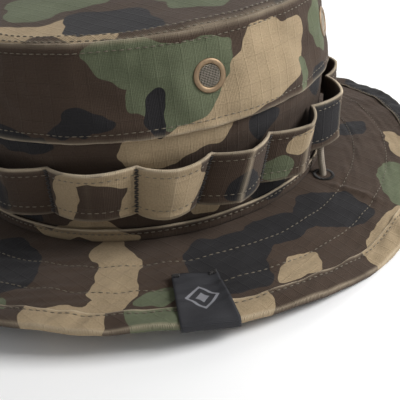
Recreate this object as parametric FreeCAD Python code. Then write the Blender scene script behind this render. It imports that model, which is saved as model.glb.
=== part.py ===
import FreeCAD, Part
import math
import os

from FreeCAD import Vector

# A soft boonie hat lying on its brim. Units are millimetres, +Z is up, the front points along -Y,
# and the origin is on the floor at the middle of the crown.
# An azimuth is an angle about Z in degrees, from the front (-Y) towards the wearer's left (+X).
# An offset is a distance outwards from the crown's oval at the base seam.

# Crown
crown_half_width = 92.0
crown_half_depth = 94.0
base_height = 13.0
cloth = 0.9
fold_seam_rise = 54.0
fold_lap = 3.0
fold_offset = 4.0
top_seam_rise = 90.0
top_seam_offset = -0.5
crown_dome = 5.0

# Brim
brim_width = 58.0
brim_wave = 5.5
brim_lobes = 3
brim_curve = 1.3
core_half = 0.6
skin = 0.5
ply_gap = 0.06
binding_width = 9.0
binding_ply = 0.55

# Bands and tapes
hem_lip_height = 7.0
sweatband_height = 32.0
sweatband_ply = 1.2
tape_ply = 0.6
tape_width = 12.0
top_tape_width = 8.0
band_low = 17.0
band_high = 39.5
band_ply = 1.3
loop_gap = 9.0
sewn_tacks = [179.0, 201.5, 224.0, 241.0, 259.0, 280.0]
loop_count = 16
tack_width = 2.4
tack_ply = 0.6

# Vents: two on each side
vent_azimuths = [65.0, 115.0, 245.0, 295.0]
vent_rise = 72.0
vent_radius = 7.0
vent_hole_radius = 4.6
vent_rim_ply = 0.5
vent_mesh_ply = 0.35

# Labels
label_azimuth = 233.5
label_width = 21.0
label_reach = 28.0
label_under = 11.0
label_ply = 0.45
care_label_azimuth = 150.0
care_label_width = 30.0
care_label_height = 18.0

# Chin cord. Its points are for the wearer's right side: the left side is their mirror.
cord_radius = 1.75
cord_floor = 1.9
lock_height = 6.3
cord_half_route = [
    (-90.6, -34.5, 43.0),
    (-92.3, -28.8, 26.0),
    (-98.9, -24.9, 8.4),
    (-96.4, -13.5, cord_floor),
    (-90.0, 14.0, cord_floor),
    (-78.0, 45.0, cord_floor),
    (-55.0, 71.0, cord_floor),
    (-25.0, 79.0, cord_floor),
    (-6.5, 59.0, 4.6),
    (-2.3, 32.0, lock_height),
    (-2.3, -23.0, lock_height),
    (-8.0, -51.0, 4.6),
    (-17.0, -71.0, cord_floor),
    (-12.5, -92.0, cord_floor),
]

# The eyelets sewn in the brim where the cord goes through
eyelet_azimuth = 284.4
eyelet_offset = 8.6
eyelet_hole = 3.7
eyelet_outer = 5.8
eyelet_raise = 0.55
eyelet_stand = 0.3

# Cord lock: a barrel along X round the doubled cord, with a sprung button
lock_radius = 6.0
lock_bore = 4.1
lock_closed_end = -15.0
lock_open_end = 10.0
lock_wall = 1.5
lock_centre_y = 4.5
slot_half_width = 5.0
slot_half_height = 2.15
button_radius = 3.9
button_travel = 4.0
button_inner_end = -8.0
button_outer_end = 15.5
spring_wire = 0.35
spring_radius = 2.7
spring_turns = 4

ring_points = 48
brim_steps = 5
top_rings = [1.0, 0.9, 0.7, 0.45, 0.2]


def value_at(quantity, azimuth):
    """A size that is either one number or a function of the azimuth."""
    return quantity(azimuth) if callable(quantity) else quantity


def outward(azimuth):
    """Unit vector square to the crown's oval."""
    turn = math.radians(azimuth)
    normal = Vector(math.sin(turn) / crown_half_width, -math.cos(turn) / crown_half_depth, 0)
    return normal.normalize()


def along(azimuth):
    """Unit vector along the oval, towards larger azimuths."""
    normal = outward(azimuth)
    return Vector(-normal.y, normal.x, 0)


def place(azimuth, offset, height):
    """The point at an azimuth, an offset from the base oval and a height above the floor."""
    turn = math.radians(azimuth)
    foot = Vector(crown_half_width * math.sin(turn), -crown_half_depth * math.cos(turn), height)
    return foot + outward(azimuth) * offset


def closed_curve(points):
    curve = Part.BSplineCurve()
    curve.interpolate(Points=points, PeriodicFlag=True)
    return curve.toShape()


def open_curve(points):
    curve = Part.BSplineCurve()
    curve.interpolate(Points=points)
    return curve.toShape()


def ring(offset, height):
    """A closed curve round the crown."""
    azimuths = [360.0 * i / ring_points for i in range(ring_points)]
    return closed_curve([place(a, value_at(offset, a), value_at(height, a)) for a in azimuths])


def solid_from(faces):
    return Part.Solid(Part.Shell(faces))


def ring_solid(corners):
    """A solid that goes all round the crown. Its section has the given (offset, height) corners."""
    rings = [ring(offset, height) for offset, height in corners]
    following = rings[1:] + rings[:1]
    return solid_from([Part.makeRuledSurface(a, b) for a, b in zip(rings, following)])


def spans(start, end, count):
    return [start + (end - start) * i / (count - 1) for i in range(count)]


def strip_solid(inner_low, inner_high, outer_low, outer_high):
    """A curved strip between four lists of points."""
    lines = [open_curve(points) for points in (inner_low, inner_high, outer_high, outer_low)]
    sides = [Part.makeRuledSurface(a, b) for a, b in zip(lines, lines[1:] + lines[:1])]
    ends = []
    for index in (0, -1):
        corners = [points[index] for points in (inner_low, inner_high, outer_high, outer_low)]
        ends.append(Part.Face(Part.makePolygon(corners + corners[:1])))
    return solid_from(sides + ends)


# Wall and brim surfaces

def wall_offset(rise):
    """Outer face of the lower wall at a height above the base seam."""
    return fold_offset * rise / fold_seam_rise


def upper_wall_offset(rise):
    """Outer face of the upper wall, which stands proud of the lower one at the fold."""
    foot = fold_offset + cloth + 0.15
    share = (rise - fold_seam_rise) / (top_seam_rise - fold_seam_rise)
    return foot + (top_seam_offset - foot) * max(share, 0)


def edge_height(azimuth):
    """Height of the brim's edge above the floor: it touches in three places."""
    return brim_wave * (1 - math.sin(math.radians(brim_lobes * azimuth)))


def brim_mid(azimuth, offset):
    """Height of the middle of the brim's thickness."""
    share = min(max(offset, 0) / brim_width, 1)
    edge_mid = edge_height(azimuth) + core_half + skin + binding_ply + 2 * ply_gap
    return base_height + (edge_mid - base_height) * share ** brim_curve


def brim_layer(inner, outer, low, high):
    """Section of a ply of the brim, low and high being counted from its middle."""
    offsets = spans(inner, outer, brim_steps)
    bottom = [(d, lambda a, d=d: brim_mid(a, d) + low) for d in offsets]
    top = [(d, lambda a, d=d: brim_mid(a, d) + high) for d in reversed(offsets)]
    return bottom + top


# Crown

def crown_lower_wall():
    top = fold_seam_rise
    return ring_solid([
        (-cloth, base_height + 1.4),
        (-cloth + wall_offset(top), base_height + top),
        (wall_offset(top), base_height + top),
        (0, base_height + 1.4),
    ])


def crown_upper_wall():
    rises = (fold_seam_rise - fold_lap, fold_seam_rise, top_seam_rise)
    inner = [(upper_wall_offset(rise) - cloth, base_height + rise) for rise in rises]
    outer = [(upper_wall_offset(rise), base_height + rise) for rise in reversed(rises)]
    wall = ring_solid(inner + outer)
    return wall.cut(Part.makeCompound([vent_plug(a, vent_hole_radius, 12.0) for a in vent_azimuths]))


def oval(share, height):
    """A flat oval parallel to the crown's top seam."""
    half_width = (crown_half_width + top_seam_offset) * share
    half_depth = (crown_half_depth + top_seam_offset) * share
    turns = [2 * math.pi * i / ring_points for i in range(ring_points)]
    return closed_curve([Vector(half_width * math.sin(t), -half_depth * math.cos(t), height) for t in turns])


def crown_top():
    """The domed top panel, which closes the wall."""
    seat = base_height + top_seam_rise + 0.05
    outer = [oval(share, seat + cloth + crown_dome * (1 - share ** 2)) for share in top_rings]
    inner = [oval(share, seat + crown_dome * (1 - share ** 2)) for share in top_rings]
    faces = [Part.makeRuledSurface(a, b) for a, b in zip(outer, outer[1:])]
    faces += [Part.makeRuledSurface(a, b) for a, b in zip(inner, inner[1:])]
    faces.append(Part.makeRuledSurface(outer[0], inner[0]))
    faces += [Part.Face(Part.Wire([outer[-1]])), Part.Face(Part.Wire([inner[-1]]))]
    return solid_from(faces)


def hem_lip():
    """The crown's hem, turned up and stitched flat at the foot of the wall."""
    foot = base_height + core_half + skin + 2 * ply_gap + 0.5
    high = base_height + hem_lip_height
    return ring_solid([
        (wall_offset(0.5) + 0.25, foot),
        (wall_offset(hem_lip_height) + 0.15, high),
        (wall_offset(hem_lip_height) + 0.9, high),
        (wall_offset(0.5) + 1.3, foot),
    ])


def sweatband():
    low = base_height - 1.0
    high = low + sweatband_height
    inner_low = -cloth - 0.4 - sweatband_ply
    return ring_solid([
        (inner_low, low),
        (inner_low + wall_offset(sweatband_height), high),
        (inner_low + sweatband_ply + wall_offset(sweatband_height), high),
        (inner_low + sweatband_ply, low),
    ])


def top_seam_tape():
    """Tape over the inside of the top seam."""
    high = base_height + top_seam_rise - 1.0
    low = high - top_tape_width
    outer_high = upper_wall_offset(top_seam_rise - 1.0) - cloth - 0.2
    outer_low = upper_wall_offset(top_seam_rise - 1.0 - top_tape_width) - cloth - 0.2
    return ring_solid([
        (outer_low - tape_ply, low),
        (outer_high - tape_ply, high),
        (outer_high, high),
        (outer_low, low),
    ])


def side_seam_tapes():
    """Upright tapes over the seams at the two sides of the wall, above the sweatband."""
    half_turn = math.degrees(tape_width / 2 / crown_half_width)
    low_rise = sweatband_height + 1.0
    high_rise = fold_seam_rise - 0.5
    tapes = []
    for side in (90.0, 270.0):
        azimuths = spans(side - half_turn, side + half_turn, 5)

        def line(rise, depth):
            offset = wall_offset(rise) - cloth - depth
            return [place(a, offset, base_height + rise) for a in azimuths]

        tapes.append(strip_solid(
            line(low_rise, 0.2 + tape_ply),
            line(high_rise, 0.2 + tape_ply),
            line(low_rise, 0.2),
            line(high_rise, 0.2),
        ))
    return Part.makeCompound(tapes)


# Brim

def cord_eyelet_places():
    """Centre and direction of each sewn eyelet in the brim."""
    places = []
    for azimuth in (eyelet_azimuth, 360.0 - eyelet_azimuth):
        centre = place(azimuth, eyelet_offset, brim_mid(azimuth, eyelet_offset))
        fall = brim_mid(azimuth, eyelet_offset - 4) - brim_mid(azimuth, eyelet_offset + 4)
        direction = (outward(azimuth) * (fall / 8) + Vector(0, 0, 1)).normalize()
        places.append((centre, direction))
    return places


def cord_holes(radius):
    tools = []
    for centre, direction in cord_eyelet_places():
        tools.append(Part.makeCylinder(radius, 12, centre - direction * 6, direction))
    return Part.makeCompound(tools)


def brim_stiffener():
    core = ring_solid(brim_layer(-1.0, brim_width - 0.3, -core_half, core_half))
    return core.cut(cord_holes(eyelet_hole + 0.7))


def brim_top_cloth():
    low = core_half + ply_gap
    ply = ring_solid(brim_layer(-1.0, brim_width - 0.3, low, low + skin))
    return ply.cut(cord_holes(eyelet_hole + 0.7))


def brim_under_cloth():
    high = -core_half - ply_gap
    ply = ring_solid(brim_layer(-1.0, brim_width - 0.3, high - skin, high))
    return ply.cut(cord_holes(eyelet_hole + 0.7))


def brim_binding():
    """Folded tape round the brim's edge: a U-shaped section open towards the crown."""
    inner = brim_width - binding_width
    edge = brim_width - 0.2
    near = core_half + skin + 2 * ply_gap
    far = near + binding_ply

    def corner(offset, level):
        return (offset, lambda a: brim_mid(a, offset) + level)

    return ring_solid([
        corner(inner, near),
        corner(edge, near),
        corner(edge, -near),
        corner(inner, -near),
        corner(inner, -far),
        corner(edge + binding_ply, -far),
        corner(edge + binding_ply, far),
        corner(inner, far),
    ])


def brim_cord_eyelets():
    """Sewn thread eyelets: a short tube through the brim with a flat ring on each face."""
    half = core_half + skin + ply_gap
    reach = half + eyelet_stand + eyelet_raise / 2
    eyelets = []
    for centre, direction in cord_eyelet_places():
        body = Part.makeCylinder(eyelet_hole + 0.65, 2 * reach, centre - direction * reach, direction)
        for side in (-1, 1):
            start = centre + direction * side * (half + eyelet_stand)
            flange = Part.makeCylinder(eyelet_outer, eyelet_raise, start, direction * side)
            body = body.fuse(flange)
        hole = Part.makeCylinder(eyelet_hole, 8, centre - direction * 4, direction)
        eyelets.append(body.cut(hole).removeSplitter())
    return Part.makeCompound(eyelets)


# Foliage band

def tack_azimuths():
    """Where the band is caught down. Those past the uneven ones share what is left evenly."""
    first = sewn_tacks[0]
    last = sewn_tacks[-1]
    remaining = loop_count - len(sewn_tacks) + 1
    step = (first + 360.0 - last) / remaining
    return sewn_tacks + [last + step * i for i in range(1, remaining)]


def band_loops():
    """Start and end azimuth of each loop."""
    starts = tack_azimuths()
    return list(zip(starts, starts[1:] + [starts[0] + 360.0]))


def foliage_band():
    """Each loop of the strip stands off the wall between two tacks."""
    shares = spans(0.0, 1.0, 9)
    margin = 0.15
    loops = []
    for start, end in band_loops():

        def line(rise, depth):
            points = []
            for share in shares:
                azimuth = start + margin + (end - start - 2 * margin) * share
                bulge = loop_gap * math.sin(math.pi * share) ** 1.2
                points.append(place(azimuth, wall_offset(rise) + 0.3 + bulge + depth, base_height + rise))
            return points

        loops.append(strip_solid(
            line(band_low, 0),
            line(band_high, 0),
            line(band_low, band_ply),
            line(band_high, band_ply),
        ))
    return Part.makeCompound(loops)


def turned_box(azimuth, offset, low, width, depth, height):
    """A box standing on the wall, its inner face at an offset."""
    corner = place(azimuth, offset, low) + along(azimuth) * (width / 2)
    box = Part.makeBox(width, depth, height)
    across = along(azimuth) * -1
    out = outward(azimuth)
    box.Placement = FreeCAD.Placement(FreeCAD.Matrix(
        across.x, out.x, 0, corner.x,
        across.y, out.y, 0, corner.y,
        0, 0, 1, corner.z,
        0, 0, 0, 1))
    return box


def band_bartacks():
    """A zigzag of thread at each end of a loop, as a thin bar."""
    low = base_height + band_low + 0.5
    height = band_high - band_low - 1.0
    offset = wall_offset(band_high) + 0.3 + band_ply + 0.9
    return Part.makeCompound([
        turned_box(azimuth, offset, low, tack_width, tack_ply, height) for azimuth in tack_azimuths()
    ])


# Vents

def vent_frame(azimuth):
    """Centre of a vent on the wall's outer face and its outward direction."""
    offset = upper_wall_offset(vent_rise)
    centre = place(azimuth, offset, base_height + vent_rise)
    lean = (upper_wall_offset(vent_rise - 5) - upper_wall_offset(vent_rise + 5)) / 10
    direction = (outward(azimuth) + Vector(0, 0, lean)).normalize()
    return centre, direction


def vent_plug(azimuth, radius, length):
    centre, direction = vent_frame(azimuth)
    return Part.makeCylinder(radius, length, centre - direction * length / 2, direction)


def vent_eyelets():
    """Brass rims with a barrel through the wall."""
    rims = []
    for azimuth in vent_azimuths:
        centre, direction = vent_frame(azimuth)
        seat = centre + direction * 0.35
        rim = Part.makeCylinder(vent_radius, vent_rim_ply, seat, direction)
        barrel = Part.makeCylinder(vent_hole_radius - 0.1, 2.6, seat - direction * 2.3, direction)
        hole = Part.makeCylinder(vent_hole_radius - 0.5, 8, centre - direction * 4, direction)
        rims.append(rim.fuse(barrel).cut(hole).removeSplitter())
    return Part.makeCompound(rims)


def vent_meshes():
    """The mesh discs, held in the barrels near the outer face."""
    discs = []
    for azimuth in vent_azimuths:
        centre, direction = vent_frame(azimuth)
        discs.append(Part.makeCylinder(vent_hole_radius - 0.52, vent_mesh_ply, centre + direction * 0.2, direction))
    return Part.makeCompound(discs)


def vent_washers():
    """Back washers inside the crown."""
    washers = []
    for azimuth in vent_azimuths:
        centre, direction = vent_frame(azimuth)
        seat = centre - direction * (cloth + 0.8)
        washer = Part.makeCylinder(vent_radius - 0.5, 0.4, seat, direction)
        washers.append(washer.cut(Part.makeCylinder(vent_hole_radius, 4, seat - direction * 2, direction)))
    return Part.makeCompound(washers)


# Labels

def edge_label():
    """A woven label folded over the brim's edge and the binding."""
    stand = core_half + skin + 3 * ply_gap + binding_ply
    half_turn = math.degrees(label_width / 2 / (crown_half_width + brim_width))
    azimuths = spans(label_azimuth - half_turn, label_azimuth + half_turn, 4)
    edge = brim_width + binding_ply + 0.1

    def leg(side, reach):
        """One leg of the fold: side is 1 above the brim and -1 below it."""
        offsets = spans(brim_width - reach, edge, 4)
        faces = []
        for depth in (0, label_ply):
            lines = []
            for d in offsets:
                lines.append(open_curve([
                    place(a, d, brim_mid(a, d) + side * (stand + depth)) for a in azimuths]))
            faces.append(lines)
        near, far = faces
        skin_faces = []
        for lines in (near, far):
            skin_faces += [Part.makeRuledSurface(a, b) for a, b in zip(lines, lines[1:])]
        skin_faces.append(Part.makeRuledSurface(near[0], far[0]))
        skin_faces.append(Part.makeRuledSurface(near[-1], far[-1]))
        for azimuth in (azimuths[0], azimuths[-1]):
            close = [place(azimuth, d, brim_mid(azimuth, d) + side * stand) for d in offsets]
            away = [place(azimuth, d, brim_mid(azimuth, d) + side * (stand + label_ply)) for d in offsets]
            for i in range(len(offsets) - 1):
                quad = [close[i], close[i + 1], away[i + 1], away[i], close[i]]
                skin_faces.append(Part.makeFilledFace(Part.makePolygon(quad).Edges))
        return solid_from(skin_faces)

    tall = stand + label_ply
    fold = strip_solid(
        [place(a, edge, brim_mid(a, edge) - tall) for a in azimuths],
        [place(a, edge, brim_mid(a, edge) + tall) for a in azimuths],
        [place(a, edge + label_ply, brim_mid(a, edge) - tall) for a in azimuths],
        [place(a, edge + label_ply, brim_mid(a, edge) + tall) for a in azimuths],
    )
    return Part.makeCompound([leg(1, label_reach), fold, leg(-1, label_under)])


def label_tacks():
    """Thread tacks at the label's two inner corners."""
    tacks = []
    stand = core_half + skin + 3 * ply_gap + binding_ply + label_ply + 0.1
    for side in (-1, 1):
        azimuth = label_azimuth + side * math.degrees(8.0 / (crown_half_width + brim_width))
        offset = brim_width - label_reach + 2.0
        tacks.append(turned_box(azimuth, offset, brim_mid(azimuth, offset) + stand, 3.0, 2.0, 0.4))
    return Part.makeCompound(tacks)


def care_label():
    """A small label sewn on the sweatband's inner face."""
    half_turn = math.degrees(care_label_width / 2 / crown_half_width)
    azimuths = spans(care_label_azimuth - half_turn, care_label_azimuth + half_turn, 5)
    low_rise = 6.0

    def line(rise, depth):
        offset = -cloth - 0.4 - sweatband_ply + wall_offset(rise + 1.0) - depth
        return [place(a, offset, base_height + rise) for a in azimuths]

    high_rise = low_rise + care_label_height
    return strip_solid(
        line(low_rise, 0.65),
        line(high_rise, 0.65),
        line(low_rise, 0.25),
        line(high_rise, 0.25),
    )


# Chin cord

def cord_route():
    right = [Vector(*point) for point in cord_half_route]
    left = [Vector(-point.x, point.y, point.z) for point in reversed(right)]
    return right + left


def cord_path(points):
    """Straight runs joined by tangent arcs, each as large as its two runs allow."""
    edges = []
    radii = []
    start = points[0]
    for before, corner, after in zip(points, points[1:], points[2:]):
        incoming = corner - before
        outgoing = after - corner
        turn = incoming.getAngle(outgoing)
        reach = 0.45 * min(incoming.Length, outgoing.Length)
        radii.append(reach / math.tan(turn / 2))
        enter = corner - incoming.normalize() * reach
        leave = corner + outgoing.normalize() * reach
        chord_middle = (enter + leave) / 2
        centre_side = (chord_middle - corner).normalize()
        centre = corner + centre_side * (radii[-1] / math.cos(turn / 2))
        middle = centre - centre_side * radii[-1]
        edges.append(Part.LineSegment(start, enter).toShape())
        edges.append(Part.Arc(enter, middle, leave).toShape())
        start = leave
    edges.append(Part.LineSegment(start, points[-1]).toShape())
    return Part.Wire(edges), radii


def chin_cord():
    path, radii = cord_path(cord_route())
    heading = path.Edges[0].tangentAt(path.Edges[0].FirstParameter)
    section = Part.Wire([Part.makeCircle(cord_radius, cord_route()[0], heading)])
    tube = path.makePipeShell([section], True, False)
    expected = math.pi * cord_radius ** 2 * path.Length
    print("cord arc radii:", " ".join("%.1f" % r for r in radii))
    print("cord length %.1f, tube volume over section times length %.4f" % (path.Length, tube.Volume / expected))
    return tube


def cord_end_tacks():
    """Tacks that catch the cord's two ends to the wall behind the band."""
    x, y, z = cord_half_route[0]
    azimuth = math.degrees(math.atan2(x / crown_half_width, -y / crown_half_depth))
    offset = wall_offset(z - base_height + 3.0) + 0.25
    return Part.makeCompound([
        turned_box(side * azimuth, offset, z - 0.3, 6.0, 3.4, 4.0) for side in (-1, 1)
    ])


# Cord lock

def along_lock(radius, start, end):
    """A cylinder on the lock's own axis, from one X to another."""
    return Part.makeCylinder(radius, end - start, Vector(start, lock_centre_y, lock_height), Vector(1, 0, 0))


def cord_slot(start, end):
    """The slot that the doubled cord runs through, along Y."""
    corner = Vector(start, lock_centre_y - 2 * lock_radius, lock_height - slot_half_height)
    return Part.makeBox(end - start, 4 * lock_radius, 2 * slot_half_height, corner)


def cord_lock_barrel():
    barrel = along_lock(lock_radius, lock_closed_end, lock_open_end)
    rims = [edge for edge in barrel.Edges if isinstance(edge.Curve, Part.Circle)]
    barrel = barrel.makeFillet(1.0, rims)
    barrel = barrel.cut(along_lock(lock_bore, lock_closed_end + lock_wall, lock_open_end + 1))
    return barrel.cut(cord_slot(-slot_half_width, slot_half_width))


def cord_lock_button():
    """The plunger. Its slot is longer than the barrel's by the travel."""
    button = along_lock(button_radius, button_inner_end, button_outer_end)
    outer_rim = [edge for edge in button.Edges
                 if isinstance(edge.Curve, Part.Circle) and edge.Curve.Center.x > 0]
    button = button.makeFillet(1.4, outer_rim)
    return button.cut(cord_slot(-slot_half_width, slot_half_width + button_travel))


def cord_lock_spring():
    """Coil spring between the barrel's closed end and the plunger."""
    start = lock_closed_end + lock_wall + spring_wire + 0.1
    length = button_inner_end - spring_wire - 0.1 - start
    helix = Part.makeHelix(length / spring_turns, length, spring_radius)
    section = Part.Wire([Part.makeCircle(spring_wire, Vector(spring_radius, 0, 0), Vector(0, 1, 0))])
    coil = Part.Wire(helix.Edges).makePipeShell([section], True, True)
    coil.rotate(Vector(0, 0, 0), Vector(0, 1, 0), 90)
    coil.translate(Vector(start, lock_centre_y, lock_height))
    return coil


nodes = {
    "crown_top": crown_top,
    "crown_upper_wall": crown_upper_wall,
    "crown_lower_wall": crown_lower_wall,
    "hem_lip": hem_lip,
    "sweatband": sweatband,
    "top_seam_tape": top_seam_tape,
    "side_seam_tapes": side_seam_tapes,
    "brim_top_cloth": brim_top_cloth,
    "brim_stiffener": brim_stiffener,
    "brim_under_cloth": brim_under_cloth,
    "brim_binding": brim_binding,
    "brim_cord_eyelets": brim_cord_eyelets,
    "foliage_band": foliage_band,
    "band_bartacks": band_bartacks,
    "vent_eyelets": vent_eyelets,
    "vent_meshes": vent_meshes,
    "vent_washers": vent_washers,
    "edge_label": edge_label,
    "label_tacks": label_tacks,
    "care_label": care_label,
    "chin_cord": chin_cord,
    "cord_end_tacks": cord_end_tacks,
    "cord_lock_barrel": cord_lock_barrel,
    "cord_lock_button": cord_lock_button,
    "cord_lock_spring": cord_lock_spring,
}

os.makedirs("parts", exist_ok=True)
for name, make in nodes.items():
    shape = make()
    shape.exportStep("parts/%s.step" % name)
    print("%-20s solids %2d valid %s volume %9.1f low %.2f high %.2f" % (
        name, len(shape.Solids), shape.isValid(), shape.Volume, shape.BoundBox.ZMin, shape.BoundBox.ZMax))
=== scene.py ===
import math

import bmesh
import bpy
from mathutils import Matrix, Vector, noise


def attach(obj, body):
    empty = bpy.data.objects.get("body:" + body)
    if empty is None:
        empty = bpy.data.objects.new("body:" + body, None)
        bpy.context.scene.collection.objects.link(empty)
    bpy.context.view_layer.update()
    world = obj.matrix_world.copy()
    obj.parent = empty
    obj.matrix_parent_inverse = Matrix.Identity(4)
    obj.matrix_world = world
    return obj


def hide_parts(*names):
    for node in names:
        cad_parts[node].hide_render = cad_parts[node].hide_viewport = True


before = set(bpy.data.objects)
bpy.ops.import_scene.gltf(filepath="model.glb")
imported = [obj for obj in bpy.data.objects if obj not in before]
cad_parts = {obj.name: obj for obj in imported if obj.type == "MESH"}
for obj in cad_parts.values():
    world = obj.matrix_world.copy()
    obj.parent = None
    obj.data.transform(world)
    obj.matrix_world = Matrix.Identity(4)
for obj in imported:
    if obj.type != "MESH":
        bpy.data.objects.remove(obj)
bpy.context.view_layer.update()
scene = bpy.context.scene
scene.view_settings.view_transform = "Standard"
print("frame loaded:", len(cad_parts), "nodes")

# metres; azimuth in degrees from the front (-Y) towards +X
hat = {
    "halfWidth": 0.092, "halfDepth": 0.094, "base": 0.013, "foldRise": 0.054, "topRise": 0.090,
    "foldOffset": 0.004, "topOffset": -0.0005, "brimWidth": 0.058, "brimWave": 0.0055, "brimCurve": 1.3,
    "plyHalf": 0.00177,
}
radius = 0.093


def outward(azimuth):
    turn = math.radians(azimuth)
    return Vector((math.sin(turn) / hat["halfWidth"], -math.cos(turn) / hat["halfDepth"], 0)).normalized()


def along(azimuth):
    normal = outward(azimuth)
    return Vector((-normal.y, normal.x, 0))


def place(azimuth, offset, height):
    turn = math.radians(azimuth)
    foot = Vector((hat["halfWidth"] * math.sin(turn), -hat["halfDepth"] * math.cos(turn), height))
    return foot + outward(azimuth) * offset


def near(value, centre, width):
    return math.exp(-((value - centre) / width) ** 2)


def crumple(x, y, z, size):
    return noise.noise(Vector((x / size, y / size, z / size)))


# camera
camera = {
    "place": Vector((-0.2519, 0.2242, 0.1738)), "yaw": -44.13, "pitch": 30.41, "roll": -5.56, "lens": 58.9,
}


def makeCamera():
    data = bpy.data.cameras.new("camera")
    data.lens = camera["lens"]
    data.sensor_width = 36.0
    data.clip_start = 0.01
    rig = bpy.data.objects.new("camera", data)
    scene.collection.objects.link(rig)
    yaw, pitch, roll = (math.radians(camera[key]) for key in ("yaw", "pitch", "roll"))
    ahead = Vector((-math.sin(yaw) * math.cos(pitch), -math.cos(yaw) * math.cos(pitch), -math.sin(pitch)))
    right = Vector((-math.cos(yaw), math.sin(yaw), 0))
    up = right.cross(ahead)
    tiltedRight = right * math.cos(roll) + up * math.sin(roll)
    tiltedUp = up * math.cos(roll) - right * math.sin(roll)
    turn = Matrix((tiltedRight, tiltedUp, -ahead)).transposed()
    rig.matrix_world = Matrix.Translation(camera["place"]) @ turn.to_4x4()
    scene.camera = rig


makeCamera()
print("camera set")


# materials
ink = {
    "brown": (0.052, 0.035, 0.025), "tan": (0.310, 0.235, 0.145), "green": (0.100, 0.113, 0.068),
    # worn: pale tan for rubbed edges, which also stands in as a painted highlight on edges and ridges that
    # catch light
    "black": (0.017, 0.016, 0.017), "wornAndLit": (0.52, 0.43, 0.31), "thread": (0.016, 0.014, 0.013),
    "seam": (0.115, 0.096, 0.068),
    "cord": (0.40, 0.34, 0.27), "olive": (0.055, 0.060, 0.036),
}


def addNode(tree, kind, settings=None, **inputs):
    item = tree.nodes.new(kind)
    for key, value in (settings or {}).items():
        setattr(item, key, value)
    for key, value in inputs.items():
        socket = item.inputs[int(key[1:])] if key[0] == "i" and key[1:].isdigit() else item.inputs[key]
        if isinstance(value, bpy.types.NodeSocket):
            tree.links.new(value, socket)
        else:
            socket.default_value = value
    return item


def combine(tree, operation, first, second, clamp=False):
    settings = {"operation": operation, "use_clamp": clamp}
    return addNode(tree, "ShaderNodeMath", settings, i0=first, i1=second).outputs[0]


def mixColour(tree, share, first, second, blendType="MIX"):
    settings = {"data_type": "RGBA", "blend_type": blendType}
    return addNode(tree, "ShaderNodeMix", settings, i0=share, i6=first, i7=second).outputs[2]


def newMaterial(name, roughness=0.85, metallic=0.0, sheen=0.0, specular=0.3):
    material = bpy.data.materials.new(name)
    material.use_nodes = True
    shader = material.node_tree.nodes["Principled BSDF"]
    shader.inputs["Roughness"].default_value = roughness
    shader.inputs["Metallic"].default_value = metallic
    shader.inputs["Sheen Weight"].default_value = sheen
    shader.inputs["Sheen Roughness"].default_value = 0.5
    shader.inputs["Specular IOR Level"].default_value = specular
    return material, material.node_tree, shader


def coordinate(tree, kind):
    return tree.nodes.new("ShaderNodeTexCoord").outputs[kind]


# a wave texture of this scale repeats once a metre
waveScale = 0.314


def weaveHeight(tree, where, pitch, ripstop=0.0052):
    # warp and weft ridges, with a heavier thread every few millimetres
    total = None
    for axis in ("X", "Y"):
        ridge = addNode(tree, "ShaderNodeTexWave", {"bands_direction": axis}, Vector=where,
                        Scale=waveScale / pitch, Distortion=0.25, Detail=1.0)
        fact = ridge.outputs["Fac"]
        total = fact if total is None else combine(tree, "MULTIPLY", total, fact)
    for axis in ("X", "Y"):
        bar = addNode(tree, "ShaderNodeTexWave", {"bands_direction": axis}, Vector=where,
                      Scale=waveScale / ripstop)
        heavy = combine(tree, "POWER", bar.outputs["Fac"], 40.0)
        total = combine(tree, "ADD", total, combine(tree, "MULTIPLY", heavy, 0.8))
    return total


def addBump(tree, shader, height, distance, strength=1.0):
    bump = addNode(tree, "ShaderNodeBump", None, Height=height, Distance=distance, Strength=strength)
    tree.links.new(bump.outputs[0], shader.inputs["Normal"])


def spotSum(tree, where, spots):
    # each spot is x, y, half length, half width, turn in degrees, strength; it shows out to its half sizes
    total = None
    for x, y, halfLong, halfShort, turn, strength in spots:
        shifted = addNode(tree, "ShaderNodeMapping", {"vector_type": "TEXTURE"}, Vector=where,
                          Location=(x, y, 0), Rotation=(0, 0, math.radians(turn)),
                          Scale=(2 * halfLong, 2 * halfShort, 9))
        ball = addNode(tree, "ShaderNodeTexGradient", {"gradient_type": "SPHERICAL"},
                       Vector=shifted.outputs[0])
        part = combine(tree, "MULTIPLY", ball.outputs["Fac"], strength)
        total = part if total is None else combine(tree, "ADD", total, part)
    return total


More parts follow.
